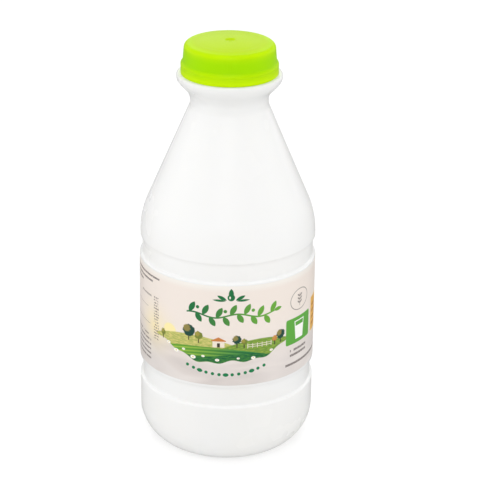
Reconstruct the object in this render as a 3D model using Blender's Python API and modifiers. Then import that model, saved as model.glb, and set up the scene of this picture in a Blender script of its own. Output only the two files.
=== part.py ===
"""Round plastic milk bottle: a blow-moulded body, a screw cap and a wrap-around label.

Metres, +Z up. The origin is the middle of the base, on the surface that the bottle
stands on, and the middle of the label's front faces -Y. The bottle is shut and full,
so its body is solid up to the mouth inside the cap.
"""
import math

import bpy

# Turning, and the gap between pieces that touch
STEPS_ROUND = 64
CLEARANCE = 0.0003
QUARTER = math.pi / 2

# Body
BODY_RADIUS = 0.0370
PANEL_RADIUS = 0.03675
HEEL_RADIUS = 0.0177
HEEL_ARC_ANGLE = math.radians(62.6)
HEEL_FOOT_RADIUS = 0.0057
STANDING_RING_WIDTH = 0.0022
PUSH_UP_HEIGHT = 0.0042
PUSH_UP_SLOPE_WIDTH = 0.0075

# Grooves above and below the label panel
GROOVE_DEPTH = 0.00105
GROOVE_UPPER_WALL = 0.0008
GROOVE_LOWER_WALL = 0.0016
LOWER_GROOVE_BOTTOM = 0.0288
LOWER_GROOVE_TOP = 0.0386
UPPER_GROOVE_BOTTOM = 0.0850
UPPER_GROOVE_TOP = 0.0940

# Shoulder and cone
SHOULDER_RADIUS = 0.03686
SHOULDER_WIDEST_HEIGHT = 0.0948
SHOULDER_ARC_RADIUS = 0.0358
CONE_ANGLE = math.radians(22.95)

# Neck, flare and the bead under the cap
NECK_RADIUS = 0.0162
NECK_FILLET_RADIUS = 0.0052
NECK_STRAIGHT_HEIGHT = 0.0010
FLARE_NECK_HANDLE = 0.0050
FLARE_BEAD_HANDLE = 0.0040
BEAD_RADIUS = 0.0219
BEAD_HEIGHT = 0.1631
BEAD_ROUNDING = 0.0008

# Cap
CAP_BOTTOM = 0.1642
CAP_HEIGHT = 0.0127
CAP_WALL = 0.0012
CAP_BAND_RADIUS = 0.02016
CAP_BAND_HEIGHT = 0.0038
CAP_STEP_HEIGHT = 0.0018
CAP_SKIRT_LOWER_RADIUS = 0.01928
CAP_SKIRT_UPPER_RADIUS = 0.0189
CAP_EDGE_ROUNDING = 0.0022
CAP_DOME_RISE = 0.0011
GATE_DIMPLE_RADIUS = 0.0022
GATE_DIMPLE_DEPTH = 0.0005

# Mouth, inside the cap
MOUTH_RADIUS = 0.0173
MOUTH_ROUNDING = 0.0006

# Label
LABEL_BOTTOM = 0.0396
LABEL_HEIGHT = 0.0450
LABEL_THICKNESS = 0.0002


def arc(centre, radius, start, end, count):
    """Points of a round arc, from one angle to another, in radians."""
    points = []
    for index in range(count):
        angle = start + (end - start) * index / (count - 1)
        points.append((centre[0] + radius * math.cos(angle), centre[1] + radius * math.sin(angle)))
    return points


def curve(start, start_handle, end_handle, end, count):
    """Points of a cubic curve between two ends, with its two handles."""
    points = []
    for index in range(count):
        t = index / (count - 1)
        weights = ((1 - t) ** 3, 3 * t * (1 - t) ** 2, 3 * t * t * (1 - t), t ** 3)
        corners = (start, start_handle, end_handle, end)
        points.append(tuple(sum(w * c[axis] for w, c in zip(weights, corners)) for axis in (0, 1)))
    return points


def ease(start, end, count):
    """An S-shaped wall between two points, upright at both of its ends."""
    middle = (start[1] + end[1]) / 2
    return curve(start, (start[0], middle), (end[0], middle), end, count)


def groove(top, bottom, radius_above, radius_below):
    """A shallow ring groove: a short wall at its top, and a longer, softer one at its foot."""
    floor = BODY_RADIUS - GROOVE_DEPTH
    points = ease((radius_above, top), (floor, top - GROOVE_UPPER_WALL), 4)
    points += ease((floor, bottom + GROOVE_LOWER_WALL), (radius_below, bottom), 5)
    return points


def mouth_profile():
    """The plain mouth that stands inside the cap, down to the ledge on top of the bead."""
    top = CAP_BOTTOM + CAP_HEIGHT - CAP_WALL - CLEARANCE
    points = [(0.0, top)]
    points += arc((MOUTH_RADIUS - MOUTH_ROUNDING, top - MOUTH_ROUNDING), MOUTH_ROUNDING,
                  QUARTER, 0.0, 3)
    points.append((MOUTH_RADIUS, BEAD_HEIGHT + BEAD_ROUNDING))
    return points


def neck_profile():
    """The bead, the flare below it, the short neck, the cone and the shoulder's arc."""
    cosine = math.cos(CONE_ANGLE)
    sine = math.sin(CONE_ANGLE)
    shoulder_centre = SHOULDER_RADIUS - SHOULDER_ARC_RADIUS
    cone_foot = (shoulder_centre + SHOULDER_ARC_RADIUS * cosine,
                 SHOULDER_WIDEST_HEIGHT + SHOULDER_ARC_RADIUS * sine)
    fillet_x = NECK_RADIUS + NECK_FILLET_RADIUS
    cone_top_x = fillet_x - NECK_FILLET_RADIUS * cosine
    cone_top_z = cone_foot[1] + (cone_foot[0] - cone_top_x) / math.tan(CONE_ANGLE)
    fillet_z = cone_top_z + NECK_FILLET_RADIUS * sine
    flare_z = fillet_z + NECK_STRAIGHT_HEIGHT

    points = arc((BEAD_RADIUS - BEAD_ROUNDING, BEAD_HEIGHT), BEAD_ROUNDING, QUARTER, 0.0, 4)
    points += curve((BEAD_RADIUS, BEAD_HEIGHT), (BEAD_RADIUS, BEAD_HEIGHT - FLARE_BEAD_HANDLE),
                    (NECK_RADIUS, flare_z + FLARE_NECK_HANDLE), (NECK_RADIUS, flare_z), 9)[1:]
    points += arc((fillet_x, fillet_z), NECK_FILLET_RADIUS, math.pi, math.pi + CONE_ANGLE, 4)
    points += arc((shoulder_centre, SHOULDER_WIDEST_HEIGHT), SHOULDER_ARC_RADIUS,
                  CONE_ANGLE, 0.0, 8)
    return points


def base_profile():
    """The heel in two arcs, the flat standing ring and the shallow push-up of the base."""
    heel_x = BODY_RADIUS - HEEL_RADIUS
    radius_change = HEEL_RADIUS - HEEL_FOOT_RADIUS
    heel_z = HEEL_FOOT_RADIUS + radius_change * math.sin(HEEL_ARC_ANGLE)
    ring_outer = heel_x + radius_change * math.cos(HEEL_ARC_ANGLE)
    ring_inner = ring_outer - STANDING_RING_WIDTH
    slope_end = ring_inner - PUSH_UP_SLOPE_WIDTH
    points = arc((heel_x, heel_z), HEEL_RADIUS, 0.0, -HEEL_ARC_ANGLE, 9)
    points += arc((ring_outer, HEEL_FOOT_RADIUS), HEEL_FOOT_RADIUS, -HEEL_ARC_ANGLE, -QUARTER, 4)
    points.append((ring_inner, 0.0))
    points += curve((ring_inner, 0.0), (ring_inner - PUSH_UP_SLOPE_WIDTH / 2, 0.0),
                    (slope_end + PUSH_UP_SLOPE_WIDTH / 2, PUSH_UP_HEIGHT),
                    (slope_end, PUSH_UP_HEIGHT), 5)[1:]
    points.append((0.0, PUSH_UP_HEIGHT))
    return points


def bottle_profile():
    """The whole outer line of the bottle, from the middle of its mouth to that of its base."""
    points = mouth_profile() + neck_profile()
    points += groove(UPPER_GROOVE_TOP, UPPER_GROOVE_BOTTOM, SHOULDER_RADIUS, PANEL_RADIUS)
    points += groove(LOWER_GROOVE_TOP, LOWER_GROOVE_BOTTOM, PANEL_RADIUS, BODY_RADIUS)
    points += base_profile()
    return points


def cap_profile():
    """The cap's outer line, from the gate dimple on its top to the foot of its band."""
    top = CAP_HEIGHT
    band_top = CAP_BAND_HEIGHT
    skirt_bottom = band_top + CAP_STEP_HEIGHT
    dome_edge = CAP_SKIRT_UPPER_RADIUS - CAP_EDGE_ROUNDING
    dome_top = top + CAP_DOME_RISE
    points = [(0.0, dome_top - GATE_DIMPLE_DEPTH)]
    points += curve((GATE_DIMPLE_RADIUS / 3, dome_top - GATE_DIMPLE_DEPTH),
                    (GATE_DIMPLE_RADIUS * 2 / 3, dome_top - GATE_DIMPLE_DEPTH),
                    (GATE_DIMPLE_RADIUS * 2 / 3, dome_top), (GATE_DIMPLE_RADIUS, dome_top), 3)
    points += curve((GATE_DIMPLE_RADIUS, dome_top), (dome_edge / 2, dome_top),
                    (dome_edge * 3 / 4, top), (dome_edge, top), 5)[1:-1]
    points += arc((dome_edge, top - CAP_EDGE_ROUNDING), CAP_EDGE_ROUNDING, QUARTER, 0.0, 6)
    points += ease((CAP_SKIRT_LOWER_RADIUS, skirt_bottom), (CAP_BAND_RADIUS, band_top), 4)
    points.append((CAP_BAND_RADIUS, 0.0))
    return points


def label_profile():
    """The label's outer line, upright."""
    radius = PANEL_RADIUS + CLEARANCE + LABEL_THICKNESS
    return [(radius, LABEL_HEIGHT), (radius, 0.0)]


def without_repeats(points):
    """The same line without points that lie on the one before."""
    kept = [points[0]]
    for point in points[1:]:
        if math.dist(point, kept[-1]) > CLEARANCE / 10:
            kept.append(point)
    return kept


def turned(name, points, collection, material, parent, height=0.0):
    """An object turned round the Z axis from a line in its XZ plane."""
    line = without_repeats(points)
    mesh = bpy.data.meshes.new(name)
    edges = [(index, index + 1) for index in range(len(line) - 1)]
    mesh.from_pydata([(x, 0.0, z) for x, z in line], edges, [])
    mesh.materials.append(material)
    piece = bpy.data.objects.new(name, mesh)
    collection.objects.link(piece)
    piece.parent = parent
    piece.location = (0.0, 0.0, height)
    screw = piece.modifiers.new("Turning", "SCREW")
    screw.axis = "Z"
    screw.angle = math.tau
    screw.steps = STEPS_ROUND
    screw.render_steps = STEPS_ROUND
    screw.use_merge_vertices = True
    screw.merge_threshold = CLEARANCE / 10
    screw.use_smooth_shade = True
    return piece


def walled(piece, thickness):
    """Gives an open surface a wall, inward from its face."""
    solidify = piece.modifiers.new("Wall", "SOLIDIFY")
    solidify.thickness = thickness
    solidify.offset = -1.0
    solidify.use_even_offset = True
    return piece


def plastic(name, colour, roughness):
    """A Principled material of one plastic."""
    material = bpy.data.materials.new(name)
    material.use_nodes = True
    shader = material.node_tree.nodes["Principled BSDF"]
    shader.inputs["Base Color"].default_value = (*colour, 1.0)
    shader.inputs["Roughness"].default_value = roughness
    shader.inputs["Metallic"].default_value = 0.0
    material.diffuse_color = (*colour, 1.0)
    return material


def clear_scene():
    """Removes every object that the scene already holds."""
    for thing in list(bpy.data.objects):
        bpy.data.objects.remove(thing, do_unlink=True)


def main():
    clear_scene()
    collection = bpy.data.collections.new("milk_bottle")
    bpy.context.scene.collection.children.link(collection)
    stand = bpy.data.objects.new("milk_bottle_stand", None)
    collection.objects.link(stand)

    white = plastic("white_polyethylene", (0.90, 0.91, 0.89), 0.38)
    lime = plastic("lime_polypropylene", (0.46, 0.82, 0.01), 0.34)
    film = plastic("printed_film", (0.88, 0.80, 0.73), 0.42)

    turned("bottle", bottle_profile(), collection, white, stand)
    cap = turned("cap", cap_profile(), collection, lime, stand, CAP_BOTTOM)
    walled(cap, CAP_WALL)
    label = turned("label", label_profile(), collection, film, stand, LABEL_BOTTOM)
    walled(label, LABEL_THICKNESS)


main()
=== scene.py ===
"""Milk bottle studio.

Builds a round plastic milk bottle with its screw cap and wrap-around label round the
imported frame, and sets it on a pale stage. It is laid out as an add-on and run as a script.
"""
import math
from functools import reduce

import bpy
from bpy.props import FloatProperty, FloatVectorProperty, IntProperty, PointerProperty
from mathutils import Matrix, Vector


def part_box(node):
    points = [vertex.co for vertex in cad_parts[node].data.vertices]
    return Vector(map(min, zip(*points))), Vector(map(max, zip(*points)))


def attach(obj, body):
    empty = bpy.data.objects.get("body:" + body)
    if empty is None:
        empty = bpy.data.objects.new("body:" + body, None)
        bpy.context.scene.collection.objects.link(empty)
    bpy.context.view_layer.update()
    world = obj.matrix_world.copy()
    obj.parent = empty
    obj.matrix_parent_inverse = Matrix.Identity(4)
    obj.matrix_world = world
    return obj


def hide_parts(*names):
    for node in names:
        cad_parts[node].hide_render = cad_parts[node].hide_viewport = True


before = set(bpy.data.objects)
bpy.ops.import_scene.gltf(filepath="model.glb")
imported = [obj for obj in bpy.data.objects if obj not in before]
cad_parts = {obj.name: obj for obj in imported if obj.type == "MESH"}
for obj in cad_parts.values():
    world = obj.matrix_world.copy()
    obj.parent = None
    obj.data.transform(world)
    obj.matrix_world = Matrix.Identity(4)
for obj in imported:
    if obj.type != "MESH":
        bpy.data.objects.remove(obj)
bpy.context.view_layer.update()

bl_info = {
    "name": "Milk Bottle Studio",
    "version": (1, 0, 0),
    "blender": (4, 5, 0),
    "location": "View3D > Sidebar > Milk Bottle",
    "description": "Builds a plastic milk bottle with a screw cap, a printed label and a pale stage",
    "category": "Add Mesh",
}

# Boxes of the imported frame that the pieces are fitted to
CAP_LOW, CAP_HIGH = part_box("cap")
LABEL_LOW, LABEL_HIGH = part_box("label")
BOTTLE_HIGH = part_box("bottle")[1]

MILLIMETRE = 0.001
QUARTER = math.pi / 2
SHARP_ANGLE = math.radians(35.0)


def screen_colour(red, green, blue):
    """A colour read off a screen, 0 to 255, as the linear colour that shaders use."""
    linear = []
    for value in (red, green, blue):
        part = value / 255
        linear.append(part / 12.92 if part <= 0.04045 else ((part + 0.055) / 1.055) ** 2.4)
    return tuple(linear)


def tinted(shade, *factors):
    """A colour with each of its parts multiplied by a factor."""
    return tuple(value * factor for value, factor in zip(shade, factors))


def length(name, description, default):
    """A length property in metres."""
    return FloatProperty(name=name, description=description, default=default,
                         subtype="DISTANCE", unit="LENGTH", precision=5)


def angle(name, description, default):
    """An angle property, shown in degrees."""
    return FloatProperty(name=name, description=description, default=math.radians(default),
                         subtype="ANGLE", unit="ROTATION")


def colour(name, description, *screen):
    """A colour property whose default is given as it shows on a screen."""
    return FloatVectorProperty(name=name, description=description, size=3, min=0.0, max=1.0,
                               default=screen_colour(*screen), subtype="COLOR")


class BottleSettings(bpy.types.PropertyGroup):
    """Sizes of the blow-moulded bottle."""
    body_radius: length("Body radius", "Radius of the lower body", 0.0370)
    panel_radius: length("Panel radius", "Radius of the wall behind the label", 0.03704)
    heel_radius: length("Heel radius", "Rounding between the side and the base", 0.0177)
    heel_foot_radius: length("Heel foot radius", "Tighter rounding just above the standing ring", 0.0057)
    heel_angle: angle("Heel angle", "How far the heel's large rounding turns", 62.6)
    ring_width: length("Standing ring width", "Width of the flat ring that touches the table", 0.0022)
    push_up: length("Push-up height", "How far the middle of the base is pushed in", 0.0042)
    push_up_slope: length("Push-up slope", "Width of the slope round the push-up", 0.0075)
    groove_depth: length("Groove depth", "Depth of the rings above and below the label", 0.00105)
    lower_groove_bottom: length("Lower groove foot", "Height of the lower groove's foot", 0.0288)
    lower_groove_top: length("Lower groove head", "Height of the lower groove's head", 0.0386)
    upper_groove_bottom: length("Upper groove foot", "Height of the upper groove's foot", 0.0850)
    upper_groove_top: length("Upper groove head", "Height of the upper groove's head", 0.0940)
    shoulder_radius: length("Shoulder radius", "Radius of the shoulder where it is widest", 0.03686)
    shoulder_height: length("Shoulder height", "Height where the shoulder is widest", 0.0948)
    shoulder_arc: length("Shoulder arc", "Radius of the arc from the shoulder into the cone", 0.0358)
    cone_angle: angle("Cone angle", "Lean of the cone from the upright", 22.95)
    neck_radius: length("Neck radius", "Radius of the narrowest part of the neck", 0.0162)
    neck_fillet: length("Neck fillet", "Rounding between the cone and the neck", 0.0052)
    bead_radius: length("Bead radius", "Radius of the bead under the cap", 0.0219)
    bead_height: length("Bead height", "Height where the bead is widest", 0.1631)
    bead_rounding: length("Bead rounding", "Rounding on top of the bead", 0.00107)
    mouth_radius: length("Mouth radius", "Radius of the mouth inside the cap", 0.0173)
    parting_angle: angle("Parting angle", "Where the mould's parting line runs", 98.0)
    parting_height: length("Parting height", "How far the parting line stands out", 0.00011)
    white: colour("White", "Colour of the milk-filled plastic", 240, 240, 239)


class CapSettings(bpy.types.PropertyGroup):
    """Sizes of the screw cap."""
    wall: length("Wall", "Thickness of the cap's wall", 0.0012)
    band_radius: length("Band radius", "Radius of the tamper band", 0.02016)
    band_height: length("Band height", "Height of the tamper band", 0.0038)
    step_height: length("Step height", "Height of the step between skirt and band", 0.0018)
    skirt_foot: length("Skirt foot radius", "Radius of the skirt just above the step", 0.01928)
    skirt_head: length("Skirt head radius", "Radius of the skirt just below the top's edge", 0.0189)
    edge_rounding: length("Edge rounding", "Rounding between the skirt and the top", 0.0022)
    dome_rise: length("Dome rise", "How far the top's middle rises above its edge", 0.0011)
    dimple_radius: length("Dimple radius", "Radius of the moulding gate's dimple", 0.0022)
    dimple_depth: length("Dimple depth", "Depth of the moulding gate's dimple", 0.0005)
    lime: colour("Lime", "Colour of the cap's plastic", 182, 225, 4)


class LabelSettings(bpy.types.PropertyGroup):
    """Sizes and colours of the printed label."""
    film: length("Film", "Thickness of the label's film", 0.00007)
    stand_off: length("Stand-off", "Radius of the film's outer face beyond the wall behind it", 0.00009)
    overlap: length("Overlap", "Width of the glued overlap at the back", 0.0060)
    cream: colour("Cream", "Ground of the label's upper part", 239, 228, 219)
    milk: colour("Milk", "Ground of the label's lower part", 222, 213, 208)
    dark_green: colour("Dark green", "Darkest printed green", 16, 116, 60)
    leaf_green: colour("Leaf green", "Bright printed green", 104, 170, 52)
    badge_green: colour("Badge green", "Ground of the square panel", 92, 172, 58)
    amber: colour("Amber", "Ground of the tall panel at the side", 238, 184, 78)
    ink: colour("Ink", "Fine ruled lines", 112, 102, 98)


class StageSettings(bpy.types.PropertyGroup):
    """The camera, the floor and the light."""
    lens: FloatProperty(name="Lens", description="Focal length on a 36 mm sensor", default=160.9,
                        subtype="DISTANCE_CAMERA", unit="CAMERA")
    distance: length("Distance", "Camera's distance in front of the bottle's axis", 0.8379)
    height: length("Height", "Camera's height above the floor", 0.4369)
    aside: length("Aside", "Camera's offset to the right of the bottle's axis", 0.0052)
    pitch: angle("Pitch", "How far the camera looks down", 22.5)
    roll: angle("Roll", "How far the camera is rolled", 0.8)
    floor_radius: length("Floor radius", "Radius of the round floor", 6.0)
    floor_colour: colour("Floor", "Colour of the floor", 205, 205, 205)
    rounds: IntProperty(name="Rounds", description="Columns of faces round a turned piece",
                        default=192, min=48, max=512)


class Paint:
    """A socket of one node tree. Arithmetic on it adds the Math nodes that work it out."""

    def __init__(self, tree, socket=None):
        self.tree = tree
        self.socket = socket

    def node(self, kind, settings=None, output=0, **values):
        """Adds a node: its settings are set first, then its sockets' values and links."""
        made = self.tree.nodes.new(kind)
        for name, value in (settings or {}).items():
            setattr(made, name, value)
        for name, value in values.items():
            self.feed(pick(made.inputs, name), value)
        return Paint(self.tree, pick(made.outputs, output) if made.outputs else None)

    def feed(self, socket, value):
        """Links a socket, or sets its value."""
        if isinstance(value, Paint):
            self.tree.links.new(value.socket, socket)
        elif isinstance(value, tuple) and len(value) == 3 and socket.type == "RGBA":
            socket.default_value = (*value, 1.0)
        else:
            socket.default_value = value

    def maths(self, operation, *others, clamp=False):
        """One Math node on this value and others."""
        values = {f"_{index + 1}": other for index, other in enumerate(others)}
        return self.node("ShaderNodeMath", {"operation": operation, "use_clamp": clamp},
                         _0=self, **values)

    def vector(self, operation, *others, output="Vector"):
        """One Vector Math node on this vector and others."""
        values = {f"_{index + 1}": other for index, other in enumerate(others)}
        return self.node("ShaderNodeVectorMath", {"operation": operation}, output,
                         _0=self, **values)

    def magnitude(self):
        """The length of this vector."""
        return self.vector("LENGTH", output="Value")

    def part(self, axis):
        """The X, Y or Z of this vector."""
        return self.node("ShaderNodeSeparateXYZ", output=axis, Vector=self)

    def noise(self, scale, detail=2.0, roughness=0.5, distortion=0.0):
        """Soft noise at this place."""
        return self.node("ShaderNodeTexNoise", Vector=self, Scale=scale, Detail=detail,
                         Roughness=roughness, Distortion=distortion)

    def __add__(self, other):
        return self.maths("ADD", other)

    def __radd__(self, other):
        return self.maths("ADD", other)

    def __sub__(self, other):
        return self.maths("SUBTRACT", other)

    def __rsub__(self, other):
        return self.maths("MULTIPLY_ADD", -1.0, other)

    def __mul__(self, other):
        return self.maths("MULTIPLY", other)

    def __rmul__(self, other):
        return self.maths("MULTIPLY", other)

    def __truediv__(self, other):
        return self.maths("DIVIDE", other)

    def __neg__(self):
        return self.maths("MULTIPLY", -1.0)

    def __abs__(self):
        return self.maths("ABSOLUTE")

    def squared(self):
        return self.maths("MULTIPLY", self)

    def sine(self):
        return self.maths("SINE")

    def most(self, other):
        return self.maths("MAXIMUM", other)

    def clamped(self):
        return self.maths("ADD", 0.0, clamp=True)

    def inside(self, softness):
        """1 where this distance is positive and 0 where it is negative, with a soft edge."""
        return self.maths("MULTIPLY_ADD", 1.0 / softness, 0.5, clamp=True)

    def span(self, low, high):
        """0 below one value and 1 above another, eased between them."""
        return self.node("ShaderNodeMapRange", {"interpolation_type": "SMOOTHSTEP"},
                         _0=self, _1=low, _2=high)

    def bump(self, strength, depth):
        """The surface's direction where this height raises it."""
        return self.node("ShaderNodeBump", Strength=strength, Distance=depth, Height=self)

    def band(self, low, low_full, high_full, high):
        """1 between the inner two values and 0 outside the outer two, eased between them."""
        return self.span(low, low_full) * (1.0 - self.span(high_full, high))

    def between(self, low, high):
        """1 between two values and 0 outside them."""
        return self.maths("COMPARE", (low + high) / 2, (high - low) / 2)

    def stripes(self, start, pitch, share):
        """1 on stripes that take up a share of each pitch."""
        return ((self - start) / pitch).maths("FRACT").maths("LESS_THAN", share)

    def over(self, below, top):
        """Lays a colour over another where this mask is 1."""
        return self.node("ShaderNodeMix", {"data_type": "RGBA"}, output="Result#RGBA",
                         _0=self, **{"A#RGBA": below, "B#RGBA": top})


def pick(sockets, name):
    """A socket by place, by _place, by name, or by name and type as in Result#RGBA."""
    if isinstance(name, int):
        return sockets[name]
    if name.startswith("_") and name[1:].isdigit():
        return sockets[int(name[1:])]
    label, _, kind = name.partition("#")
    label = label.replace("_", " ")
    for socket in sockets:
        if socket.name == label and kind in ("", socket.type):
            return socket
    raise KeyError(f"no socket {name}")


def any_of(masks):
    """1 where any of the masks is 1."""
    return reduce(Paint.most, masks)


def new_material(name):
    """An empty node material, and the place on the piece that it covers."""
    material = bpy.data.materials.new(name)
    material.use_nodes = True
    material.node_tree.nodes.clear()
    return material, Paint(material.node_tree).node("ShaderNodeTexCoord", output="Object")


def finish_material(place, values):
    """Ends a material with its shader, whose sockets get these constants and links."""
    shader = place.node("ShaderNodeBsdfPrincipled", **values)
    place.node("ShaderNodeOutputMaterial", Surface=shader)


def arc(centre, radius, start, end, count):
    """Points of a round arc, from one angle to another."""
    points = []
    for index in range(count):
        turn = start + (end - start) * index / (count - 1)
        points.append((centre[0] + radius * math.cos(turn), centre[1] + radius * math.sin(turn)))
    return points


def curve(start, start_handle, end_handle, end, count):
    """Points of a cubic curve between two ends, with its two handles."""
    points = []
    corners = (start, start_handle, end_handle, end)
    for index in range(count):
        t = index / (count - 1)
        weights = ((1 - t) ** 3, 3 * t * (1 - t) ** 2, 3 * t * t * (1 - t), t ** 3)
        points.append(tuple(sum(w * c[axis] for w, c in zip(weights, corners)) for axis in (0, 1)))
    return points


def ease(start, end, count):
    """An S-shaped wall between two points, upright at both of its ends."""
    middle = (start[1] + end[1]) / 2
    return curve(start, (start[0], middle), (end[0], middle), end, count)


def line(start, end, count):
    """Evenly spaced points of a straight run."""
    return [tuple(start[axis] + (end[axis] - start[axis]) * index / (count - 1) for axis in (0, 1))
            for index in range(count)]


def without_repeats(points):
    """The same line without points that lie on the one before."""
    kept = [points[0]]
    for point in points[1:]:
        if math.dist(point, kept[-1]) > 0.01 * MILLIMETRE:
            kept.append(point)
    return kept


def columns_round(count, finer_at=(), finer_span=0.03, finer_count=10):
    """Angles of a turned piece's columns, with more of them near the angles given."""
    angles = {round(math.tau * index / count, 6) for index in range(count)}
    for middle in finer_at:
        for step in range(-finer_count, finer_count + 1):
            angles.add(round((middle + finer_span * step / finer_count) % math.tau, 6))
    return sorted(angles)


def profile_normals(points):
    """Outward directions of a line that runs down a turned piece's outer side."""
    normals = []
    last = len(points) - 1
    for index in range(len(points)):
        before = points[max(index - 1, 0)]
        after = points[min(index + 1, last)]
        along = Vector((after[0] - before[0], after[1] - before[1])).normalized()
        normals.append((-along.y, along.x))
    return normals


def turned_piece(name, points, angles, relief=None):
    """A mesh turned round the Z axis from a line with both ends on that axis.

    The line runs down the outer side. Relief moves each vertex along the line's own
    outward direction, by a distance that depends on the angle and the place on the line.
    """
    line_points = without_repeats(points)
    normals = profile_normals(line_points)
    rings = line_points[1:-1]
    vertices = [(0.0, 0.0, line_points[0][1])]
    for (radius, height), normal in zip(rings, normals[1:-1]):
        for turn in angles:
            lift = relief(turn, radius, height) if relief else 0.0
            r = radius + normal[0] * lift
            vertices.append((r * math.sin(turn), -r * math.cos(turn), height + normal[1] * lift))
    vertices.append((0.0, 0.0, line_points[-1][1]))

    count = len(angles)
    faces = []
    for column in range(count):
        following = (column + 1) % count
        faces.append((0, 1 + column, 1 + following))
        for ring in range(len(rings) - 1):
            top = 1 + ring * count
            low = top + count
            faces.append((top + column, low + column, low + following, top + following))
        last = 1 + (len(rings) - 1) * count
        faces.append((last + following, last + column, len(vertices) - 1))
    return mesh_object(name, vertices, faces)


def mesh_object(name, vertices, faces):
    """An object from vertices and faces, shaded smooth except at its sharp edges."""
    mesh = bpy.data.meshes.new(name)
    mesh.from_pydata(vertices, [], faces)
    mesh.validate()
    mesh.shade_smooth()
    mesh.set_sharp_from_angle(angle=SHARP_ANGLE)
    piece = bpy.data.objects.new(name, mesh)
    bpy.context.scene.collection.objects.link(piece)
    return piece


def dress(piece, node, material):
    """Puts a piece in the place of a frame node, with its finish."""
    piece.data.materials.append(material)
    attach(piece, "root")
    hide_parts(node)


def groove(sizes, top, bottom, radius_above, radius_below):
    """A shallow ring groove: a short wall at its head, and a longer, softer one at its foot."""
    floor = sizes.body_radius - sizes.groove_depth
    upper_wall = 0.0005
    lower_wall = 0.0012
    points = ease((radius_above, top), (floor, top - upper_wall), 12)
    points += line((floor, top - upper_wall), (floor, bottom + lower_wall), 5)
    points += ease((floor, bottom + lower_wall), (radius_below, bottom), 14)
    return points


def bottle_line(sizes):
    """The bottle's outer line, from the middle of its mouth to the middle of its base."""
    mouth_top = BOTTLE_HIGH.z
    mouth_radius = sizes.mouth_radius
    mouth_rounding = 0.0006
    mouth_foot_height = 0.0004
    mouth_foot_width = 0.0005
    neck_run = 0.0010
    neck_handle = 0.0050
    bead_handle = 0.0040
    cosine = math.cos(sizes.cone_angle)
    sine = math.sin(sizes.cone_angle)
    shoulder_x = sizes.shoulder_radius - sizes.shoulder_arc
    cone_foot = (shoulder_x + sizes.shoulder_arc * cosine,
                 sizes.shoulder_height + sizes.shoulder_arc * sine)
    fillet_x = sizes.neck_radius + sizes.neck_fillet
    cone_top_x = fillet_x - sizes.neck_fillet * cosine
    cone_top_z = cone_foot[1] + (cone_foot[0] - cone_top_x) / math.tan(sizes.cone_angle)
    fillet_z = cone_top_z + sizes.neck_fillet * sine
    flare_z = fillet_z + neck_run
    bead_x = sizes.bead_radius - sizes.bead_rounding
    bead_top = sizes.bead_height + sizes.bead_rounding

    points = line((0.0, mouth_top), (mouth_radius - mouth_rounding, mouth_top), 4)
    points += arc((mouth_radius - mouth_rounding, mouth_top - mouth_rounding),
                  mouth_rounding, QUARTER, 0.0, 5)
    points += curve((mouth_radius, bead_top + mouth_foot_height), (mouth_radius, bead_top),
                    (mouth_radius, bead_top), (mouth_radius + mouth_foot_width, bead_top), 5)
    points += line((mouth_radius + mouth_foot_width, bead_top), (bead_x, bead_top), 3)
    points += arc((bead_x, sizes.bead_height), sizes.bead_rounding, QUARTER, 0.0, 10)
    points += curve((sizes.bead_radius, sizes.bead_height),
                    (sizes.bead_radius, sizes.bead_height - bead_handle),
                    (sizes.neck_radius, flare_z + neck_handle), (sizes.neck_radius, flare_z), 30)
    points += arc((fillet_x, fillet_z), sizes.neck_fillet, math.pi, math.pi + sizes.cone_angle, 10)
    points += line((cone_top_x, cone_top_z), cone_foot, 22)
    points += arc((shoulder_x, sizes.shoulder_height), sizes.shoulder_arc,
                  sizes.cone_angle, 0.0, 20)
    points += groove(sizes, sizes.upper_groove_top, sizes.upper_groove_bottom,
                     sizes.shoulder_radius, sizes.panel_radius)
    points += line((sizes.panel_radius, sizes.upper_groove_bottom),
                   (sizes.panel_radius, sizes.lower_groove_top), 12)
    points += groove(sizes, sizes.lower_groove_top, sizes.lower_groove_bottom,
                     sizes.panel_radius, sizes.body_radius)
    return points + base_line(sizes)


def base_line(sizes):
    """The heel in two arcs, the standing ring and the push-up, to the middle of the base."""
    heel_x = sizes.body_radius - sizes.heel_radius
    radius_change = sizes.heel_radius - sizes.heel_foot_radius
    heel_z = sizes.heel_foot_radius + radius_change * math.sin(sizes.heel_angle)
    ring_outer = heel_x + radius_change * math.cos(sizes.heel_angle)
    ring_inner = ring_outer - sizes.ring_width
    slope_end = ring_inner - sizes.push_up_slope
    points = line((sizes.body_radius, sizes.lower_groove_bottom), (sizes.body_radius, heel_z), 6)
    points += arc((heel_x, heel_z), sizes.heel_radius, 0.0, -sizes.heel_angle, 22)
    points += arc((ring_outer, sizes.heel_foot_radius), sizes.heel_foot_radius,
                  -sizes.heel_angle, -QUARTER, 9)
    points += line((ring_outer, 0.0), (ring_inner, 0.0), 4)
    points += curve((ring_inner, 0.0), (ring_inner - sizes.push_up_slope / 2, 0.0),
                    (slope_end + sizes.push_up_slope / 2, sizes.push_up),
                    (slope_end, sizes.push_up), 16)
    points += line((slope_end, sizes.push_up), (0.0, sizes.push_up), 16)
    return points


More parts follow.
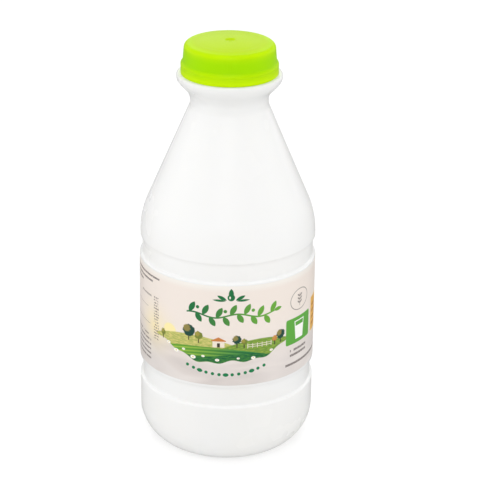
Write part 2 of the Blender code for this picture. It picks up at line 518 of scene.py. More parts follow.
def bottle_relief(sizes):
    """The parting line up both sides, the pinch-off bar on the base, and a faint waviness."""
    line_width = 0.00045
    bar_width = 0.0009
    bar_height = 0.00055
    bar_half_length = 0.0125
    bar_taper = 0.002
    base_reach = sizes.push_up + MILLIMETRE / 100
    plain_below = 0.004
    full_after = 0.006
    wave = 0.00003

    def relief(turn, radius, height):
        off_plane = abs(radius * math.sin(turn - sizes.parting_angle))
        if height <= base_reach and radius < bar_half_length:
            ridge = max(0.0, 1 - (off_plane / bar_width) ** 2) ** 1.5
            end = min(1.0, (bar_half_length - radius) / bar_taper)
            return bar_height * ridge * end
        standing = min(1.0, max(0.0, height - plain_below) / full_after)
        hidden = 0.0 if height > sizes.bead_height else 1.0
        covered = LABEL_LOW.z - MILLIMETRE < height < LABEL_HIGH.z + MILLIMETRE
        ridge = 0.0 if covered else max(0.0, 1 - (off_plane / line_width) ** 2) ** 1.5
        ripple = math.sin(3 * turn + 90 * height) + 0.6 * math.sin(5 * turn - 140 * height + 1.3)
        return standing * hidden * (sizes.parting_height * ridge + wave * ripple)

    return relief


def cap_line(sizes):
    """The cap's line: down its outer side from the gate, round the foot, and up its inner side."""
    foot = CAP_LOW.z
    dome_top = CAP_HIGH.z
    top = dome_top - sizes.dome_rise
    band_top = foot + sizes.band_height
    skirt_foot_z = band_top + sizes.step_height
    dome_edge = sizes.skirt_head - sizes.edge_rounding
    dimple = sizes.dimple_radius
    dimple_floor = dome_top - sizes.dimple_depth
    nub_radius = dimple * 0.3
    nub_height = sizes.dimple_depth * 0.45
    foot_rounding = 0.00015
    score_depth = 0.00008
    score_height = 0.0005
    score_z = band_top - 0.0007

    points = [(0.0, dimple_floor + nub_height)]
    points += curve((nub_radius * 0.4, dimple_floor + nub_height),
                    (nub_radius, dimple_floor + nub_height),
                    (nub_radius * 0.8, dimple_floor), (nub_radius * 1.4, dimple_floor), 7)
    points += curve((dimple * 0.6, dimple_floor), (dimple * 0.85, dimple_floor),
                    (dimple * 0.85, dome_top), (dimple * 1.15, dome_top), 9)
    points += curve((dimple * 1.15, dome_top), (dome_edge * 0.5, dome_top),
                    (dome_edge * 0.84, top + sizes.dome_rise / 2), (dome_edge, top), 24)[1:]
    points += arc((dome_edge, top - sizes.edge_rounding), sizes.edge_rounding, QUARTER, 0.0, 16)
    points += line((sizes.skirt_head, top - sizes.edge_rounding),
                   (sizes.skirt_foot, skirt_foot_z), 8)
    points += ease((sizes.skirt_foot, skirt_foot_z), (sizes.band_radius, band_top), 14)
    points += ease((sizes.band_radius, score_z + score_height / 2),
                   (sizes.band_radius - score_depth, score_z), 5)
    points += ease((sizes.band_radius - score_depth, score_z),
                   (sizes.band_radius, score_z - score_height / 2), 5)
    points += line((sizes.band_radius, score_z - score_height / 2),
                   (sizes.band_radius, foot + foot_rounding), 4)
    points += arc((sizes.band_radius - foot_rounding, foot + foot_rounding),
                  foot_rounding, 0.0, -QUARTER, 5)
    points += inner_cap_line(sizes, foot, band_top, skirt_foot_z, top, dome_edge)
    return points


def inner_cap_line(sizes, foot, band_top, skirt_foot_z, top, dome_edge):
    """The cap's inner side, a wall's thickness inside the outer one."""
    wall = sizes.wall
    inner_rounding = sizes.edge_rounding - wall
    points = line((sizes.band_radius - wall, foot), (sizes.band_radius - wall, band_top), 3)
    points += ease((sizes.band_radius - wall, band_top), (sizes.skirt_foot - wall, skirt_foot_z), 6)
    points += arc((dome_edge, top - sizes.edge_rounding), inner_rounding, 0.0, QUARTER, 6)
    points += [(0.0, top - wall)]
    return points


def cap_relief(sizes):
    """Three short raised marks on the front of the skirt, and a faint ring on the top."""
    mark_angles = [math.radians(value) for value in (-3.2, 0.0, 3.2)]
    mark_half_width = 0.00028
    mark_height = 0.00006
    mark_low = CAP_LOW.z + sizes.band_height + sizes.step_height + 0.0006
    mark_high = mark_low + 0.0034
    mark_taper = 0.0005
    skirt_inside = sizes.skirt_head - 0.0005
    ring_radius = 0.0128
    ring_half_width = 0.0007
    ring_depth = 0.00005
    top = CAP_HIGH.z - sizes.dome_rise

    def relief(turn, radius, height):
        if height >= top and radius < sizes.skirt_head - sizes.edge_rounding:
            return -ring_depth * max(0.0, 1 - ((radius - ring_radius) / ring_half_width) ** 2)
        if not mark_low < height < mark_high or radius < skirt_inside:
            return 0.0
        lift = 0.0
        for middle in mark_angles:
            away = (turn - middle + math.pi) % math.tau - math.pi
            lift = max(lift, 1 - (away * radius / mark_half_width) ** 2)
        ends = min(1.0, (height - mark_low) / mark_taper, (mark_high - height) / mark_taper)
        return mark_height * lift * ends

    return relief


def label_sheet(sizes, wall_radius):
    """The label: a thin sheet that goes once round and is glued over its own start at the back."""
    low = LABEL_LOW.z
    high = LABEL_HIGH.z
    outer = wall_radius + sizes.stand_off
    half_overlap = sizes.overlap / outer / 2
    rise = sizes.film * 1.25
    count = 288
    rows = 12
    vertices = []
    for index in range(count + 1):
        turn = -math.pi - half_overlap + (math.tau + 2 * half_overlap) * index / count
        climb = min(1.0, max(0.0, (turn - (math.pi - 3 * half_overlap)) / half_overlap))
        climb = climb * climb * (3 - 2 * climb)
        radius = outer + rise * climb
        for face_radius in (radius, radius - sizes.film):
            for row in range(rows + 1):
                z = low + (high - low) * row / rows
                vertices.append((face_radius * math.sin(turn), -face_radius * math.cos(turn), z))
    stride = 2 * (rows + 1)
    faces = []
    for index in range(count):
        here = index * stride
        after = here + stride
        for row in range(rows):
            faces.append((here + row, after + row, after + row + 1, here + row + 1))
            inner = rows + 1 + row
            faces.append((here + inner, here + inner + 1, after + inner + 1, after + inner))
        faces.append((here, here + rows + 1, after + rows + 1, after))
        faces.append((here + rows, after + rows, after + 2 * rows + 1, here + 2 * rows + 1))
    last = count * stride
    for row in range(rows):
        faces.append((row, row + 1, rows + 2 + row, rows + 1 + row))
        faces.append((last + row, last + rows + 1 + row, last + rows + 2 + row, last + row + 1))
    return mesh_object("label_film", vertices, faces)


def white_plastic(settings):
    """Milk-white blow-moulded plastic: satin, slightly uneven, with milk behind it, painted highlights
    on the groove ridges and painted shade on the neck.
    """
    material, place = new_material("white_blown_plastic")
    height = place.part("Z")
    broad = place.noise(38.0, 3.0)
    tone = broad.span(0.3, 0.7)
    white = tuple(settings.white)
    above_label = height.span(0.084, 0.108)
    shade = (tone * (1.0 - 0.8 * above_label)).over(white, tinted(white, 1.0, 0.994, 0.982))
    # Painted highlights: a brighter ring of plastic on each groove's foot, where the rounded ridge
    # catches the light.
    ridge_highlight_offsets = (-0.0006, 0.0002, 0.0006, 0.0018)
    painted_ridge_highlights = [height.band(*(foot + step for step in ridge_highlight_offsets))
              for foot in (settings.upper_groove_bottom, settings.lower_groove_bottom)]
    shade = (painted_ridge_highlights[0] + painted_ridge_highlights[1]).over(shade, screen_colour(246, 246, 245))
    # Painted shade: the neck under the cap's bead and band darker; it also stands for the neck having no
    # milk behind its wall.
    painted_neck_shade = height.span(0.148, 0.159)
    shade = painted_neck_shade.over(shade, tinted(white, 0.93, 0.93, 0.925))
    finish_material(place, {
        "Base Color": shade, "Roughness": 0.22 + 0.06 * tone,
        "Normal": (1.5 * broad).bump(0.1, 0.0002),
        "Subsurface Weight": 0.15, "Subsurface Radius": (1.0, 0.95, 0.85),
        "Subsurface Scale": 0.004, "Specular IOR Level": 0.1, "IOR": 1.5})
    return material


def lime_plastic(settings):
    """Lime injection-moulded plastic with a soft sheen, with painted shade on the skirt and the top and
    painted highlights at the band's foot and under the top's edge.
    """
    material, place = new_material("lime_moulded_plastic")
    height = place.part("Z")
    broad = place.noise(70.0, 3.0)
    fine = place.noise(1400.0, 2.0, 0.6)
    tone = broad.span(0.3, 0.7)
    foot = CAP_LOW.z
    head = CAP_HIGH.z
    # Painted highlight: the band lighter towards its foot.
    painted_foot_highlight = 1.0 - height.span(foot, foot + 0.0036)
    # Painted shade: the skirt a deeper, darker lime above the step.
    skirt = height.band(foot + 0.0041, foot + 0.0057, foot + 0.0084, foot + 0.0120)
    # Painted highlight: the rounding under the top's edge lighter.
    painted_rim_highlight = height.span(head - 0.0031, head - 0.0018)
    # Painted shade: the top a slightly darker, less blue copy of the lime.
    dome = height.span(head - 0.0011, head - 0.0007)
    lime = tuple(settings.lime)
    bright = tinted(lime, 1.24, 1.13, 0.6)
    shade = tone.over(lime, tinted(lime, 0.93, 0.97, 0.9))
    shade = painted_foot_highlight.over(shade, bright)
    shade = (skirt * 0.85).over(shade, tinted(lime, 0.72, 0.93, 0.5))
    shade = (painted_rim_highlight * 0.4).over(shade, bright)
    shade = dome.over(shade, tinted(lime, 1.06, 0.97, 0.6))
    finish_material(place, {
        "Base Color": shade, "Roughness": 0.3 + 0.06 * tone + 0.05 * fine,
        "Normal": (fine + broad).bump(0.1, 0.00015),
        "Subsurface Weight": 0.15, "Subsurface Radius": (0.8, 1.0, 0.1),
        "Subsurface Scale": 0.0012, "Specular IOR Level": 0.045, "IOR": 1.49})
    return material


class LabelPrint:
    """The label's running colour, and the place on it: millimetres to the right of the
    front's middle and millimetres up from the label's foot."""

    def __init__(self, place, radius, ground):
        turn = place.part("X").maths("ARCTAN2", -place.part("Y"))
        self.across = turn * (radius / MILLIMETRE)
        self.up = (place.part("Z") - LABEL_LOW.z) / MILLIMETRE
        self.spot = place.node("ShaderNodeCombineXYZ", X=self.across, Y=self.up)
        self.colour = ground

    def lay(self, mask, shade):
        """Prints a colour where the mask is 1."""
        self.colour = mask.over(self.colour, shade)

    def cloud(self, scale_across, scale_up, detail=2.0, distortion=0.0):
        """Soft noise, stretched along the label or up it."""
        stretched = self.spot.vector("MULTIPLY", (scale_across, scale_up, 1.0))
        return stretched.noise(1.0, detail, 0.55, distortion)

    def offset(self, across, up):
        """The vector from a place."""
        return self.spot.vector("SUBTRACT", (across, up, 0.0))

    def away(self, across, up):
        """Distance from a place."""
        return self.offset(across, up).magnitude()

    def disc(self, across, up, radius, softness=0.15):
        """A round spot."""
        return (radius - self.away(across, up)).inside(softness)

    def oval(self, across, up, half_width, half_height):
        """An upright oval."""
        scaled = self.offset(across, up).vector("DIVIDE", (half_width, half_height, 1.0))
        return (1.0 - scaled.magnitude()).inside(0.15 / min(half_width, half_height))

    def box(self, left, right, low, high):
        """A square-cornered box."""
        return self.across.between(left, right) * self.up.between(low, high)

    def panel(self, left, right, low, high, rounding):
        """A box with rounded corners."""
        inner = ((right - left) / 2 - rounding, (high - low) / 2 - rounding, 0.0)
        offset = self.offset((left + right) / 2, (low + high) / 2).vector("ABSOLUTE")
        outside = offset.vector("SUBTRACT", inner).vector("MAXIMUM", (0.0, 0.0, 0.0))
        return (rounding - outside.magnitude()).inside(0.12)

    def leaf(self, foot, lean, long, wide):
        """A pointed leaf: what two round spots share. Its foot, and its lean in degrees."""
        lean = math.radians(lean)
        along = (math.cos(lean), math.sin(lean))
        middle = (foot[0] + along[0] * long / 2, foot[1] + along[1] * long / 2)
        radius = (long * long + wide * wide) / (4 * wide)
        aside = radius - wide / 2
        one = self.away(middle[0] - along[1] * aside, middle[1] + along[0] * aside)
        other = self.away(middle[0] + along[1] * aside, middle[1] - along[0] * aside)
        return (radius - one.most(other)).inside(0.12)

    def stroke(self, start, end, thickness):
        """A straight line with round ends."""
        run = (end[0] - start[0], end[1] - start[1], 0.0)
        offset = self.offset(*start)
        dot = offset.vector("DOT_PRODUCT", run, output="Value")
        share = dot.maths("DIVIDE", run[0] ** 2 + run[1] ** 2, clamp=True)
        nearest = share.node("ShaderNodeVectorMath", {"operation": "SCALE"}, _0=run, Scale=share)
        return (thickness / 2 - offset.vector("SUBTRACT", nearest).magnitude()).inside(0.1)

    def rows(self, left, right, low, high, pitch, thickness, gaps=0.37):
        """Rows of fine broken lines, as small print looks from a step away."""
        row = (self.up - low) / pitch
        number = row.maths("FLOOR")
        line_mask = (row - number).maths("LESS_THAN", thickness / pitch)
        place = self.spot.node("ShaderNodeCombineXYZ", X=self.across * 0.55, Y=number * 3.7)
        words = place.noise(1.0, 1.0).maths("GREATER_THAN", gaps)
        letters = self.cloud(1.7, 1.5, detail=1.0).maths("GREATER_THAN", gaps)
        return self.box(left, right, low, high) * line_mask * words * letters


def label_ground(sheet, settings):
    """Cream above the milk, with soft folds of poured milk, a warm glow at the left, painted shade
    towards the left side and a painted highlight along the top edge.
    """
    sheet.lay(sheet.up.span(2.0, 24.0), tuple(settings.cream))
    folds = sheet.cloud(0.032, 0.11, detail=1.5, distortion=0.9)
    low = 1.0 - sheet.up.span(6.0, 30.0)
    sheet.lay(folds.span(0.46, 0.66) * low * 0.5, screen_colour(236, 230, 226))
    sheet.lay((1.0 - folds.span(0.32, 0.54)) * low * 0.45, screen_colour(200, 192, 188))
    # Painted shade: the lower label darker towards the left side; the next tint makes it lighter towards
    # the right.
    left = 1.0 - sheet.across.span(-32.0, -14.0)
    sheet.lay(left * low * 0.22, screen_colour(196, 190, 185))
    right = sheet.across.span(6.0, 22.0)
    sheet.lay(right * low * 0.4, screen_colour(238, 231, 227))
    # Painted highlight: a paler band along the label's top edge, below the bright ridge.
    sheet.lay(sheet.up.span(41.5, 45.0) * 0.5, screen_colour(246, 247, 241))
    glow = (1.0 - sheet.away(-35.0, 20.0) / 17.0).clamped()
    sheet.lay(glow * glow * 0.85, screen_colour(251, 233, 178))
    sheet.lay(sheet.disc(-25.5, 21.2, 3.3, 0.6), screen_colour(252, 236, 170))


def meadow(sheet):
    """Rolling fields in layers, over a wavy lower edge."""
    across = (sheet.across + 1.5) / 31.0
    ripple = (sheet.across * 0.62).sine() * 0.5 + (sheet.across * 0.23 + 1.0).sine() * 0.7
    edge = 10.3 + across * across * 7.5 + ripple
    above = (sheet.up - edge).inside(0.3)
    grass = sheet.cloud(0.5, 1.9, detail=4.0)

    back = 22.0 - ((sheet.across + 15.0) / 9.4).squared() - sheet.up
    tint = grass.span(0.35, 0.65).over(screen_colour(214, 203, 120), screen_colour(166, 178, 84))
    sheet.lay(back.inside(0.35) * above, tint)

    right = 20.6 - ((sheet.across - 15.0) / 8.6).squared() - sheet.up
    tint = grass.span(0.3, 0.7).over(screen_colour(98, 142, 50), screen_colour(150, 176, 62))
    sheet.lay(right.inside(0.3) * above, tint)

    front = 17.2 - ((sheet.across + 8.0) / 12.5).squared() - sheet.up
    furrow = (front * 4.2 + sheet.across * 0.16).sine().span(-0.4, 0.6)
    shade = sheet.across.span(-24.0, 16.0)
    deep = shade.over(screen_colour(96, 160, 44), screen_colour(10, 104, 58))
    light = shade.over(screen_colour(150, 190, 62), screen_colour(32, 138, 66))
    sheet.lay(front.inside(0.25) * above, furrow.over(deep, light))

    near = 13.4 + (sheet.across * 0.17 + 0.6).sine() * 0.9 - sheet.up
    tint = grass.span(0.35, 0.7).over(screen_colour(8, 96, 56), screen_colour(66, 142, 52))
    sheet.lay(near.inside(0.3) * above, tint)


def farm(sheet):
    """Round trees, a barn and a rail fence on the fields."""
    rough = sheet.cloud(1.3, 1.3, detail=3.0) - 0.5
    teal = screen_colour(26, 76, 62)
    olive = screen_colour(122, 134, 48)
    rust = screen_colour(205, 126, 58)
    trunk = screen_colour(70, 62, 44)
    # Each tree's place, foot, crown radius and colour
    trees = ((-16.0, 20.8, 2.7, teal), (-11.6, 20.2, 1.8, olive), (-29.2, 18.2, 1.3, olive),
             (4.6, 18.9, 1.9, teal), (7.6, 18.5, 1.3, olive), (24.4, 18.4, 2.1, teal),
             (21.4, 18.1, 1.2, rust))
    trunk_half = 0.22
    for across, foot, size, shade in trees:
        sheet.lay(sheet.box(across - trunk_half, across + trunk_half, foot - 1.6, foot + size), trunk)
        crown = size + rough * 1.6 - sheet.away(across, foot + size * 1.05)
        sheet.lay(crown.inside(0.25), shade)
        lit = size * 0.6 + rough * 1.4 - sheet.away(across - size * 0.35, foot + size * 1.4)
        sheet.lay(lit.inside(0.6) * 0.5, screen_colour(196, 168, 74))

    left, right, foot = -5.6, -0.6, 18.4
    sheet.lay(sheet.box(left, right, foot - 1.0, foot + 2.0), screen_colour(238, 226, 208))
    roof = 1.6 - abs(sheet.across - (left + right) / 2) * 0.5 - (sheet.up - foot - 2.0)
    eaves = sheet.box(left - 0.6, right + 0.6, foot + 1.7, foot + 4.0)
    sheet.lay(roof.inside(0.15) * eaves, rust)
    sheet.lay(sheet.box(left + 1.9, right - 1.9, foot - 1.0, foot + 0.9), trunk)

    rail = screen_colour(232, 222, 200)
    left, right = 9.0, 20.1
    rail_half = 0.13
    sheet.lay(sheet.across.stripes(left, 2.1, 0.14) * sheet.box(left, right, 16.7, 18.9), rail)
    for height in (17.4, 18.3):
        sheet.lay(sheet.box(left, right, height - rail_half, height + rail_half), rail)


def daisies(sheet):
    """White flowers along the fields' near edge."""
    # Each flower's place, height and size
    flowers = ((-26.0, 15.8, 0.75), (-22.0, 13.2, 0.95), (-18.4, 14.6, 0.6), (-14.0, 11.9, 1.0),
               (-9.6, 12.9, 0.6), (-3.6, 11.6, 0.75), (5.2, 12.4, 0.55), (11.6, 12.2, 0.8),
               (19.8, 14.4, 0.65))
    for across, up, size in flowers:
        sheet.lay(sheet.oval(across, up, size * 1.2, size * 0.8), screen_colour(250, 249, 240))
        sheet.lay(sheet.disc(across, up, size * 0.32), screen_colour(238, 196, 70))


def garland(sheet, settings):
    """A long leafy stem across the front, dark green at the left and bright at the right."""
    start = -17.0
    end = 21.0
    middle = 31.6
    wave = 0.9
    turns = 0.33
    count = 13
    stem = 0.36 - abs(sheet.up - middle - (sheet.across * turns).sine() * wave)
    masks = [stem.inside(0.12) * sheet.across.between(start, end)]
    for index in range(count):
        across = start + (end - start) * (index + 0.4) / count
        up = middle + math.sin(across * turns) * wave
        lean, long = (62.0, 5.3) if index % 2 == 0 else (-58.0, 4.7)
        masks.append(sheet.leaf((across, up), lean, long, 2.4))
        if index % 4 == 1:
            masks.append(sheet.disc(across + 0.8, up + 2.5, 0.75))
    tip = (end - 0.3, middle + math.sin(end * turns) * wave)
    masks.append(sheet.leaf(tip, 12.0, 4.0, 1.7))
    dark = tuple(settings.dark_green)
    bright = tuple(settings.leaf_green)
    sheet.lay(any_of(masks), sheet.across.span(start, end).over(dark, bright))


def emblem(sheet, settings):
    """A milk drop between two pairs of leaves."""
    across = 2.0
    foot = 38.2
    masks = [sheet.disc(across, foot + 1.75, 1.55),
             sheet.leaf((across, foot + 1.1), 90.0, 4.6, 2.1)]
    for side in (-1.0, 1.0):
        lean = 90.0 - side * 62.0
        masks.append(sheet.leaf((across + side * 1.9, foot + 0.5), lean, 4.4, 1.5))
        masks.append(sheet.leaf((across + side * 2.2, foot + 0.2), lean - side * 24.0, 5.6, 1.0))
    sheet.lay(any_of(masks), tuple(settings.dark_green))
    sheet.lay(sheet.oval(across - 0.5, foot + 1.7, 0.32, 0.6), screen_colour(240, 236, 222))


def bead_arc(sheet):
    """A sagging row of dots below the fields, with a leaf in every fourth place."""
    count = 13
    half_width = 16.5
    masks = []
    for index in range(count):
        part = 2 * index / (count - 1) - 1
        across = part * half_width
        up = 4.9 + 3.1 * part * part
        if index % 4 == 2:
            masks.append(sheet.leaf((across - 1.3, up - 0.3 * part), 14.0 * part, 2.6, 1.7))
        else:
            masks.append(sheet.disc(across, up, 0.72))
    sheet.lay(any_of(masks), screen_colour(8, 128, 74))


def side_marks(sheet, settings):
    """The green panel with a tumbler, the thin oval with a sprig, and the amber panel."""
    green = tuple(settings.badge_green)
    left, right, low, high = 27.4, 44.5, 13.6, 25.4
    middle = (low + high) / 2
    glass_half_height = 4.2
    sheet.lay(sheet.panel(left, right, low, high, 0.9), green)
    glass = 2.6 + (sheet.up - low - 1.8) * 0.1 - abs(sheet.across - (left + right) / 2)
    standing = sheet.up.between(middle - glass_half_height, middle + glass_half_height)
    sheet.lay(glass.inside(0.15) * standing, screen_colour(250, 250, 244))
    empty = sheet.up.between(high - 4.05, high - 2.15)
    sheet.lay((glass - 0.5).inside(0.15) * empty, green)

    across, up = 35.9, 33.1
    hole = sheet.oval(across, up, 5.95, 4.5)
    masks = [sheet.oval(across, up, 6.3, 4.85) * (1.0 - hole),
             sheet.stroke((across, up - 3.0), (across, up + 2.6), 0.3)]
    for step in range(3):
        for lean in (38.0, 142.0):
            masks.append(sheet.leaf((across, up - 1.9 + 1.5 * step), lean, 2.1, 0.8))
    sheet.lay(any_of(masks) * 0.8, tuple(settings.ink))

    sheet.lay(sheet.panel(46.8, 61.0, 13.6, 29.3, 0.8), tuple(settings.amber))
    sheet.lay(sheet.rows(48.4, 59.4, 16.0, 27.6, 2.9, 1.3, 0.36), screen_colour(190, 120, 50))


def small_print(sheet, settings):
    """Fine broken lines, ruled lines and a ruled table, at the sides and the back, and a pale margin
    with a painted shadow line at the seam.
    """
    ink = tuple(settings.ink)
    pale = screen_colour(150, 142, 136)
    for right, low in ((-40.5, 26.9), (-38.5, 19.6)):
        sheet.lay(sheet.box(-57.0, right, low, low + 0.2), pale)
    code = sheet.up.stripes(14.0, 1.25, 0.55) * sheet.box(-35.6, -32.2, 14.0, 34.0)
    grain = sheet.cloud(1.5, 0.9, detail=1.0).maths("GREATER_THAN", 0.47)
    sheet.lay(code * grain * 0.9, screen_colour(136, 124, 116))

    left, right, low, high = -104.0, -66.0, 7.0, 39.0
    pitch = 4.0
    rule = 0.2
    sheet.lay(sheet.box(left, right, low, high) * sheet.up.stripes(low, pitch, 2 * rule / pitch), pale)
    for across in (left, right, right - 12.0):
        sheet.lay(sheet.box(across - rule, across + rule, low, high), pale)

    # Blocks of rows: left, right, low, high, pitch, thickness, strength and gaps
    blocks = (
        (-58.0, -31.7, 41.5, 42.4, 2.1, 0.85, 0.9, 0.37),
        (-58.0, -36.5, 39.3, 40.2, 2.1, 0.85, 0.9, 0.37),
        (-58.0, -46.0, 37.1, 38.0, 2.1, 0.85, 0.9, 0.37),
        (-58.0, -38.0, 3.4, 14.6, 2.1, 0.8, 0.8, 0.37),
        (-47.0, -37.5, 32.3, 33.2, 2.1, 0.8, 0.6, 0.37),
        (30.0, 41.5, 8.0, 11.9, 2.2, 1.05, 0.85, 0.37),
        (27.4, 58.0, 4.0, 5.1, 1.9, 1.05, 0.85, 0.33),
        (68.0, 104.0, 6.0, 40.0, 2.4, 0.75, 0.7, 0.37),
        (left + 1.5, right - 14.0, low + 1.5, high, pitch, 0.9, 0.8, 0.37),
        (right - 10.5, right - 2.0, low + 1.5, high, pitch, 0.9, 0.8, 0.3),
    )
    for *box, row_pitch, thickness, strength, gaps in blocks:
        sheet.lay(sheet.rows(*box, row_pitch, thickness, gaps) * strength, ink)

    top = (LABEL_HIGH.z - LABEL_LOW.z) / MILLIMETRE
    seam = 3.0 - math.pi * LABEL_HIGH.x / MILLIMETRE
    sheet.lay(sheet.box(seam - 1.6, seam, 0.0, top) * 0.4, screen_colour(247, 243, 238))
    # Painted shadow: a thin grey line where the overlapping end of the label stands over its start.
    sheet.lay(sheet.box(seam - 0.14, seam, 0.0, top) * 0.5, pale)


def label_film(settings, radius):
    """Satin film with its print."""
    material, place = new_material("printed_label_film")
    sheet = LabelPrint(place, radius, tuple(settings.milk))
    label_ground(sheet, settings)
    meadow(sheet)
    farm(sheet)
    daisies(sheet)
    garland(sheet, settings)
    emblem(sheet, settings)
    bead_arc(sheet)
    side_marks(sheet, settings)
    small_print(sheet, settings)
    fine = sheet.cloud(2.2, 2.2, detail=3.0)
    finish_material(place, {
        "Base Color": sheet.colour, "Roughness": 0.36 + fine * 0.12,
        "Normal": fine.bump(0.08, 0.0001), "IOR": 1.48})
    return material


class MILKBOTTLE_OT_bottle(bpy.types.Operator):
    """Builds the white bottle"""
    bl_idname = "milk_bottle.bottle"
    bl_label = "White Bottle"

    def execute(self, context):
        sizes = context.scene.milk_bottle
        parting = (sizes.parting_angle, sizes.parting_angle + math.pi)
        angles = columns_round(context.scene.milk_stage.rounds, parting)
        piece = turned_piece("white_bottle", bottle_line(sizes), angles, bottle_relief(sizes))
        dress(piece, "bottle", white_plastic(sizes))
        return {"FINISHED"}


class MILKBOTTLE_OT_cap(bpy.types.Operator):
    """Builds the lime screw cap"""
    bl_idname = "milk_bottle.cap"
    bl_label = "Screw Cap"

    def execute(self, context):
        sizes = context.scene.milk_cap
        angles = columns_round(context.scene.milk_stage.rounds, (0.0,), 0.08, 40)
        piece = turned_piece("screw_cap", cap_line(sizes), angles, cap_relief(sizes))
        dress(piece, "cap", lime_plastic(sizes))
        return {"FINISHED"}


class MILKBOTTLE_OT_label(bpy.types.Operator):
    """Builds the printed label"""
    bl_idname = "milk_bottle.label"
    bl_label = "Printed Label"

    def execute(self, context):
        sizes = context.scene.milk_label
        piece = label_sheet(sizes, context.scene.milk_bottle.panel_radius)
        dress(piece, "label", label_film(sizes, LABEL_HIGH.x))
        return {"FINISHED"}


class MILKBOTTLE_OT_stage(bpy.types.Operator):
    """Sets the floor, the light and the camera"""
    bl_idname = "milk_bottle.stage"
    bl_label = "Pale Stage"

    def execute(self, context):
        settings = context.scene.milk_stage
        scene = context.scene
        make_floor(settings)
        make_backdrop(settings)
        make_air(scene)
        make_lights(scene)
        scene.camera = make_camera(settings)
        scene.view_settings.view_transform = "Standard"
        scene.view_settings.look = "None"
        return {"FINISHED"}


def make_floor(settings):
    """A wide pale round floor that glows a little, and more beyond the bottle's surroundings."""
    count = 64
    vertices = [(settings.floor_radius * math.cos(math.tau * index / count),
                 settings.floor_radius * math.sin(math.tau * index / count), 0.0)
                for index in range(count)]
    floor = mesh_object("pale_floor", vertices, [tuple(range(count))])
    material, place = new_material("pale_floor")
    pale = tuple(settings.floor_colour)
    shade = place.noise(3.0).span(0.3, 0.7).over(pale, tinted(pale, 0.99, 0.99, 0.99))
    far = place.magnitude().span(0.9, 1.5)
    finish_material(place, {
        "Base Color": shade, "Roughness": 0.9, "Specular IOR Level": 0.1,
        "Emission Color": far.over((0.43, 0.43, 0.43), (1.0, 1.0, 1.0)),
        "Emission Strength": 1.0})
    floor.data.materials.append(material)
    floor.visible_glossy = False


def make_backdrop(settings):
    """A white dome over the floor's edge, which neither lights the bottle nor shows in it."""
    points = arc((0.0, 0.0), settings.floor_radius, QUARTER, 0.0, 17) + [(0.0, -MILLIMETRE)]
    dome = turned_piece("white_backdrop", points, columns_round(48))
    material, place = new_material("white_backdrop")
    finish_material(place, {
        "Base Color": (0.0, 0.0, 0.0), "Specular IOR Level": 0.0,
        "Emission Color": place.noise(0.5, 1.0).over((1.0, 1.0, 1.0), (0.98, 0.98, 0.98)),
        "Emission Strength": 1.05})
    dome.data.materials.append(material)
    for sight in ("diffuse", "glossy", "transmission", "volume_scatter", "shadow"):
        setattr(dome, "visible_" + sight, False)


def make_air(scene):
    """An even, nearly white surround."""
    world = bpy.data.worlds.new("studio_air")
    world.use_nodes = True
    background = world.node_tree.nodes["Background"]
    background.inputs["Color"].default_value = (1.0, 1.0, 1.0, 1.0)
    background.inputs["Strength"].default_value = 0.27
    scene.world = world


def make_lights(scene):
    """Soft boxes round the bottle: the strongest in front, dimmer ones at the sides."""
    aim = Vector((0.0, 0.0, 0.09))
    # Each box's name, place, width and power
    boxes = (
        ("overhead_box", (0.0, 0.0, 1.3), 1.4, 6.3),
        ("front_box", (0.0, -1.4, 1.2), 1.0, 13.8),
        ("left_box", (-1.3, 0.0, 0.5), 0.9, 4.5),
        ("right_box", (1.3, 0.0, 0.5), 0.9, 3.6),
        ("back_box", (0.0, 1.3, 0.8), 1.0, 4.8),
        ("back_left_box", (-1.0, 0.9, 0.4), 0.7, 1.2),
        ("back_right_box", (1.0, 0.9, 0.4), 0.7, 2.1),
    )
    for name, place, size, power in boxes:
        light = bpy.data.lights.new(name, "AREA")
        light.shape = "SQUARE"
        light.size = size
        light.energy = power
        lamp = bpy.data.objects.new(name, light)
        lamp.location = place
        lamp.rotation_euler = (aim - lamp.location).to_track_quat("-Z", "Y").to_euler()
        lamp.visible_camera = False
        scene.collection.objects.link(lamp)


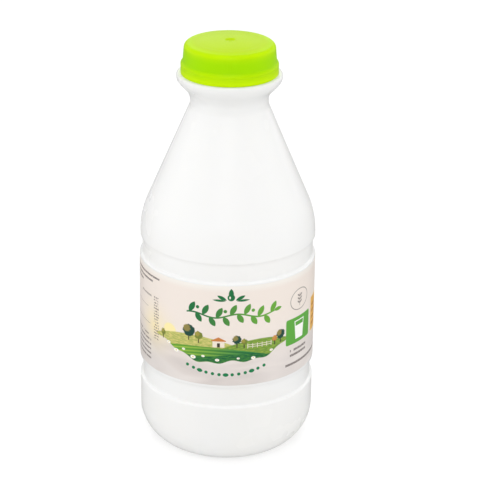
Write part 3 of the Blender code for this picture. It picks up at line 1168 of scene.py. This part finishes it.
def make_camera(settings):
    """The camera in front of the bottle, looking down on it."""
    data = bpy.data.cameras.new("photo_camera")
    data.sensor_width = 36.0
    data.lens = settings.lens
    data.clip_start = 0.01
    data.clip_end = 50.0
    camera = bpy.data.objects.new("photo_camera", data)
    level = Matrix.Rotation(QUARTER - settings.pitch, 4, "X")
    roll = Matrix.Rotation(settings.roll, 4, "Z")
    place = Matrix.Translation((settings.aside, -settings.distance, settings.height))
    camera.matrix_world = place @ level @ roll
    bpy.context.scene.collection.objects.link(camera)
    return camera


class MILKBOTTLE_PT_sidebar(bpy.types.Panel):
    """Lists the milk bottle's pieces and settings"""
    bl_idname = "MILKBOTTLE_PT_sidebar"
    bl_label = "Milk Bottle"
    bl_space_type = "VIEW_3D"
    bl_region_type = "UI"
    bl_category = "Milk Bottle"

    def draw(self, context):
        layout = self.layout
        scene = context.scene
        for operator, settings in ((MILKBOTTLE_OT_bottle, scene.milk_bottle),
                                   (MILKBOTTLE_OT_cap, scene.milk_cap),
                                   (MILKBOTTLE_OT_label, scene.milk_label),
                                   (MILKBOTTLE_OT_stage, scene.milk_stage)):
            box = layout.box()
            box.operator(operator.bl_idname)
            for name in settings.__annotations__:
                box.prop(settings, name)


GROUPS = {
    "milk_bottle": BottleSettings,
    "milk_cap": CapSettings,
    "milk_label": LabelSettings,
    "milk_stage": StageSettings,
}
OPERATORS = (MILKBOTTLE_OT_bottle, MILKBOTTLE_OT_cap, MILKBOTTLE_OT_label, MILKBOTTLE_OT_stage)


def register():
    """Makes the settings, the operators and the panel known to Blender."""
    for name, group in GROUPS.items():
        bpy.utils.register_class(group)
        setattr(bpy.types.Scene, name, PointerProperty(type=group))
    for operator in OPERATORS:
        bpy.utils.register_class(operator)
    bpy.utils.register_class(MILKBOTTLE_PT_sidebar)


def unregister():
    """Takes away what register added."""
    bpy.utils.unregister_class(MILKBOTTLE_PT_sidebar)
    for operator in reversed(OPERATORS):
        bpy.utils.unregister_class(operator)
    for name, group in reversed(GROUPS.items()):
        delattr(bpy.types.Scene, name)
        bpy.utils.unregister_class(group)


def main():
    """Builds the pieces and the stage."""
    register()
    bpy.ops.milk_bottle.bottle()
    bpy.ops.milk_bottle.cap()
    bpy.ops.milk_bottle.label()
    bpy.ops.milk_bottle.stage()


if __name__ == "__main__":
    main()
